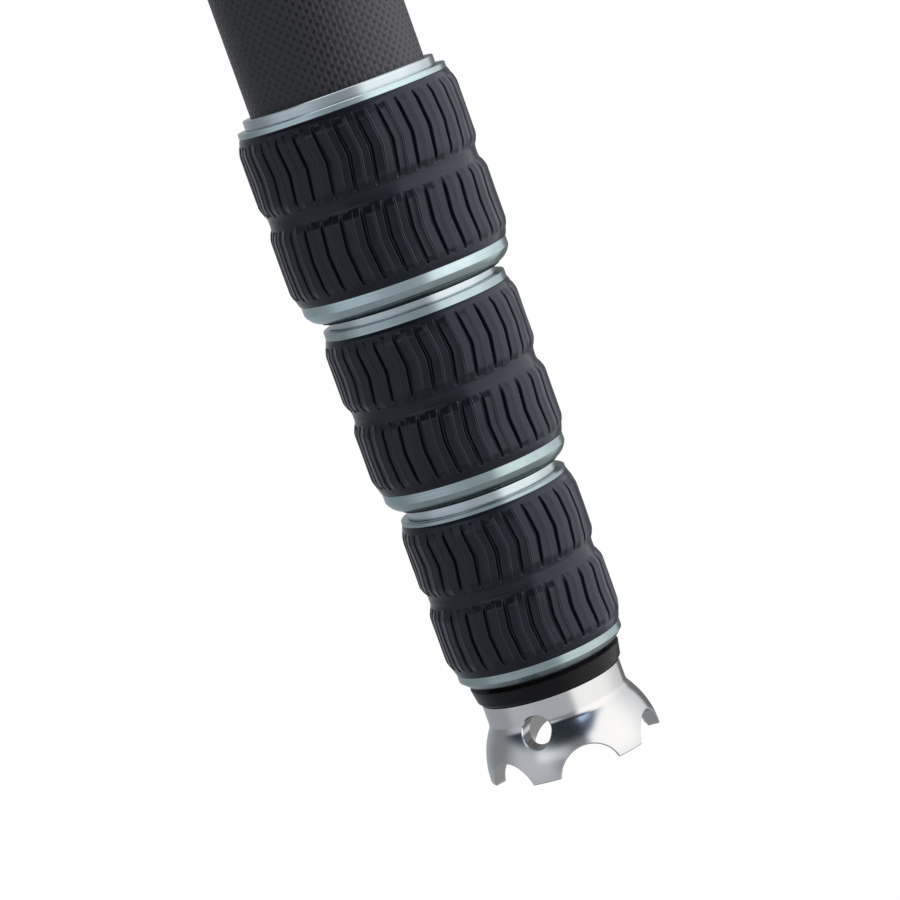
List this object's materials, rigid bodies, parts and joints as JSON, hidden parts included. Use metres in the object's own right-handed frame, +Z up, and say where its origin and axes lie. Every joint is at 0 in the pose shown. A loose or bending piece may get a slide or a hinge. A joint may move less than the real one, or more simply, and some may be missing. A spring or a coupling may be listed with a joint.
{
  "type": "tripod leg",
  "caption": "Telescoping carbon camera tripod leg, collapsed, with twist locks in ribbed rubber grips, a toothed steel claw foot and a pivot yoke on top.",
  "frame": {"origin": "centre of the pivot bore in the yoke at the top of the leg", "axes": "+Z up along the leg's axis, away from the foot; +X along the pivot bore; -Y faces the camera"},
  "size_m": [0.0402, 0.0402, 0.49],
  "materials": {
    "carbon_fibre": "fine plain-weave carbon under a satin clear coat",
    "anodised_aluminium": "satin anodised, pale blue grey",
    "rubber_grip": "moulded matt rubber",
    "rubber": "moulded seal rubber",
    "black_plastic": "satin black moulded plastic",
    "nylon": "natural moulded nylon",
    "polished_steel": "turned and polished stainless steel",
    "bare_aluminium": "turned, uncoated",
    "black_aluminium": "bead-blasted and anodised black",
    "bronze": "sintered bronze"
  },
  "bodies": {
    "section_1": {"leg_yoke": "black_aluminium", "yoke_bushes": "bronze", "tube_1": "carbon_fibre", "lock_1_sleeve": "anodised_aluminium"},
    "lock_1_collet": {"lock_1_collet": "nylon"},
    "lock_1_nut": {"lock_1_nut": "anodised_aluminium", "lock_1_grip": "rubber_grip", "lock_1_seal": "rubber"},
    "section_2": {"tube_2": "carbon_fibre", "tube_2_guides": "nylon", "lock_2_sleeve": "anodised_aluminium"},
    "lock_2_collet": {"lock_2_collet": "nylon"},
    "lock_2_nut": {"lock_2_nut": "anodised_aluminium", "lock_2_grip": "rubber_grip", "lock_2_seal": "rubber"},
    "section_3": {"tube_3": "carbon_fibre", "tube_3_guides": "nylon", "lock_3_sleeve": "anodised_aluminium"},
    "lock_3_collet": {"lock_3_collet": "nylon"},
    "lock_3_nut": {"lock_3_nut": "anodised_aluminium", "lock_3_grip": "rubber_grip", "lock_3_seal": "rubber"},
    "section_4": {"tube_4": "carbon_fibre", "tube_4_guides": "nylon", "foot_plug": "bare_aluminium", "foot_collar": "black_plastic"},
    "foot_washer": {"foot_washer": "rubber"},
    "claw": {"claw_foot": "polished_steel"}
  },
  "joints": [
    {"name": "section_2_slide", "type": "slide", "parent": "section_1", "child": "section_2", "axis": [0, 0, -1], "range_m": [0, 0.295]},
    {"name": "section_3_slide", "type": "slide", "parent": "section_2", "child": "section_3", "axis": [0, 0, -1], "range_m": [0, 0.331]},
    {"name": "section_4_slide", "type": "slide", "parent": "section_3", "child": "section_4", "axis": [0, 0, -1], "range_m": [0, 0.366]},
    {"name": "lock_1_travel", "type": "slide", "parent": "section_1", "child": "lock_1_collet", "axis": [0, 0, -1], "range_m": [0, 0.00076]},
    {"name": "lock_1_turn", "type": "hinge", "parent": "lock_1_collet", "child": "lock_1_nut", "pos_m": [0, 0, -0.375], "axis": [0, 0, -1], "range_deg": [0, 180]},
    {"name": "lock_2_travel", "type": "slide", "parent": "section_2", "child": "lock_2_collet", "axis": [0, 0, -1], "range_m": [0, 0.00076]},
    {"name": "lock_2_turn", "type": "hinge", "parent": "lock_2_collet", "child": "lock_2_nut", "pos_m": [0, 0, -0.41], "axis": [0, 0, -1], "range_deg": [0, 180]},
    {"name": "lock_3_travel", "type": "slide", "parent": "section_3", "child": "lock_3_collet", "axis": [0, 0, -1], "range_m": [0, 0.00076]},
    {"name": "lock_3_turn", "type": "hinge", "parent": "lock_3_collet", "child": "lock_3_nut", "pos_m": [0, 0, -0.445], "axis": [0, 0, -1], "range_deg": [0, 180]},
    {"name": "claw_travel", "type": "slide", "parent": "section_4", "child": "foot_washer", "axis": [0, 0, -1], "range_m": [0, 0.00795]},
    {"name": "claw_turn", "type": "hinge", "parent": "foot_washer", "child": "claw", "pos_m": [0, 0, -0.47], "axis": [0, 0, -1], "range_deg": [0, 1800]}
  ],
  "couplings": [
    {"joint": "lock_1_travel", "follows": "lock_1_turn", "m_per_rad": 0.00023873},
    {"joint": "lock_2_travel", "follows": "lock_2_turn", "m_per_rad": 0.00023873},
    {"joint": "lock_3_travel", "follows": "lock_3_turn", "m_per_rad": 0.00023873},
    {"joint": "claw_travel", "follows": "claw_turn", "m_per_rad": 0.00025266}
  ]
}
